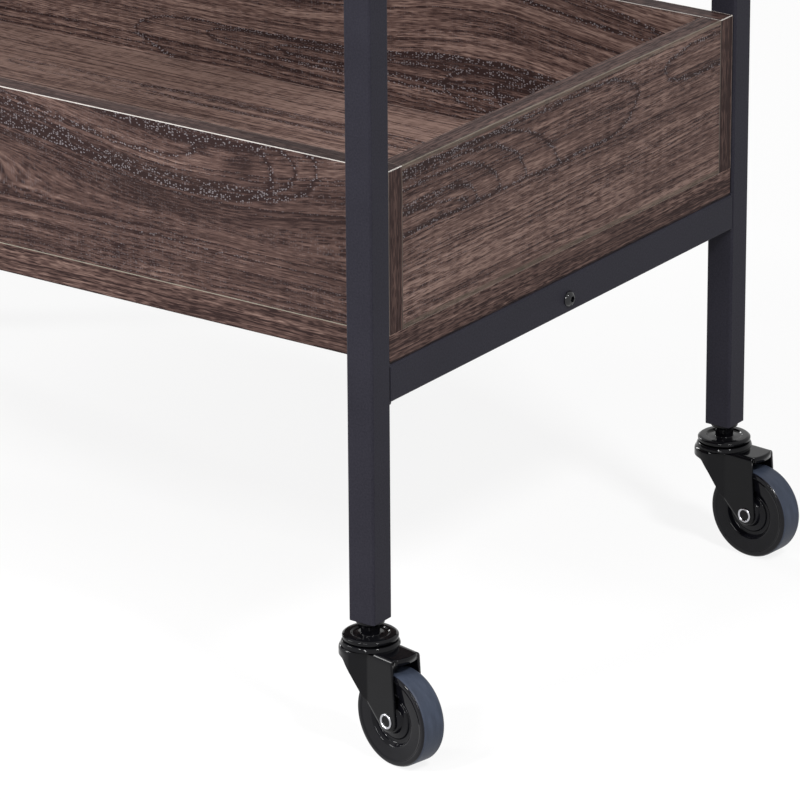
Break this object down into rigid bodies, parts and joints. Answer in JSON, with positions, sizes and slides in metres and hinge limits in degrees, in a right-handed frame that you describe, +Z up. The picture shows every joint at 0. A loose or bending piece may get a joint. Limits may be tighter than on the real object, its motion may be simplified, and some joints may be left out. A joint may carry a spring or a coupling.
{
  "type": "cheese trolley",
  "caption": "Two-tier serving trolley: square-tube end frames with handle rails, deep wooden trays on side rails, and stem-mounted swivel casters.",
  "frame": {"origin": "on the floor, under the middle of the trolley", "axes": "+X along the trolley's length, +Y across its depth from the front to the back, +Z up"},
  "size_m": [0.9004, 0.4634, 0.88],
  "materials": {
    "powder_coated_steel": "satin blue-black powder coat",
    "walnut_laminate": "satin dark walnut laminate, grain along each panel",
    "walnut_floor": "satin walnut laminate, a little lighter",
    "caster_steel": "gloss black",
    "axle_steel": "bright plated",
    "wheel_core": "gloss black",
    "tyre": "smooth slate grey rubber"
  },
  "bodies": {
    "trolley": {"post_front_left": "powder_coated_steel", "post_back_left": "powder_coated_steel", "handle_rail_left": "powder_coated_steel", "side_rail_lower_left": "powder_coated_steel", "side_rail_upper_left": "powder_coated_steel", "post_front_right": "powder_coated_steel", "post_back_right": "powder_coated_steel", "handle_rail_right": "powder_coated_steel", "side_rail_lower_right": "powder_coated_steel", "side_rail_upper_right": "powder_coated_steel", "stretcher_lower": "powder_coated_steel", "stretcher_upper": "powder_coated_steel", "tray_floor_lower": "walnut_floor", "tray_panel_front_lower": "walnut_laminate", "tray_panel_back_lower": "walnut_laminate", "tray_panel_left_lower": "walnut_laminate", "tray_panel_right_lower": "walnut_laminate", "tray_floor_upper": "walnut_floor", "tray_panel_front_upper": "walnut_laminate", "tray_panel_back_upper": "walnut_laminate", "tray_panel_left_upper": "walnut_laminate", "tray_panel_right_upper": "walnut_laminate", "caster_stems": "caster_steel"},
    "fork_front_right": {"caster_front_right_fork": "caster_steel", "caster_front_right_axle": "axle_steel"},
    "wheel_front_right": {"caster_front_right_wheel": "wheel_core", "caster_front_right_tyre": "tyre"},
    "fork_back_right": {"caster_back_right_fork": "caster_steel", "caster_back_right_axle": "axle_steel"},
    "wheel_back_right": {"caster_back_right_wheel": "wheel_core", "caster_back_right_tyre": "tyre"},
    "fork_back_left": {"caster_back_left_fork": "caster_steel", "caster_back_left_axle": "axle_steel"},
    "wheel_back_left": {"caster_back_left_wheel": "wheel_core", "caster_back_left_tyre": "tyre"},
    "fork_front_left": {"caster_front_left_fork": "caster_steel", "caster_front_left_axle": "axle_steel"},
    "wheel_front_left": {"caster_front_left_wheel": "wheel_core", "caster_front_left_tyre": "tyre"}
  },
  "joints": [
    {"name": "swivel_front_right", "type": "hinge", "parent": "trolley", "child": "fork_front_right", "pos_m": [0.39, -0.21, 0.076], "axis": [0, 0, 1], "continuous": true},
    {"name": "spin_front_right", "type": "hinge", "parent": "fork_front_right", "child": "wheel_front_right", "pos_m": [0.41739, -0.21582, 0.0315], "axis": [0.2079, 0.9781, 0], "continuous": true},
    {"name": "swivel_back_right", "type": "hinge", "parent": "trolley", "child": "fork_back_right", "pos_m": [0.39, 0.21, 0.076], "axis": [0, 0, 1], "continuous": true},
    {"name": "spin_back_right", "type": "hinge", "parent": "fork_back_right", "child": "wheel_back_right", "pos_m": [0.41789, 0.20756, 0.0315], "axis": [0.0872, 0.9962, 0], "continuous": true},
    {"name": "swivel_back_left", "type": "hinge", "parent": "trolley", "child": "fork_back_left", "pos_m": [-0.39, 0.21, 0.076], "axis": [0, 0, 1], "continuous": true},
    {"name": "spin_back_left", "type": "hinge", "parent": "fork_back_left", "child": "wheel_back_left", "pos_m": [-0.41739, 0.21582, 0.0315], "axis": [-0.2079, -0.9781, 0], "continuous": true},
    {"name": "swivel_front_left", "type": "hinge", "parent": "trolley", "child": "fork_front_left", "pos_m": [-0.39, -0.21, 0.076], "axis": [0, 0, 1], "continuous": true},
    {"name": "spin_front_left", "type": "hinge", "parent": "fork_front_left", "child": "wheel_front_left", "pos_m": [-0.41789, -0.20756, 0.0315], "axis": [-0.0872, -0.9962, 0], "continuous": true}
  ]
}
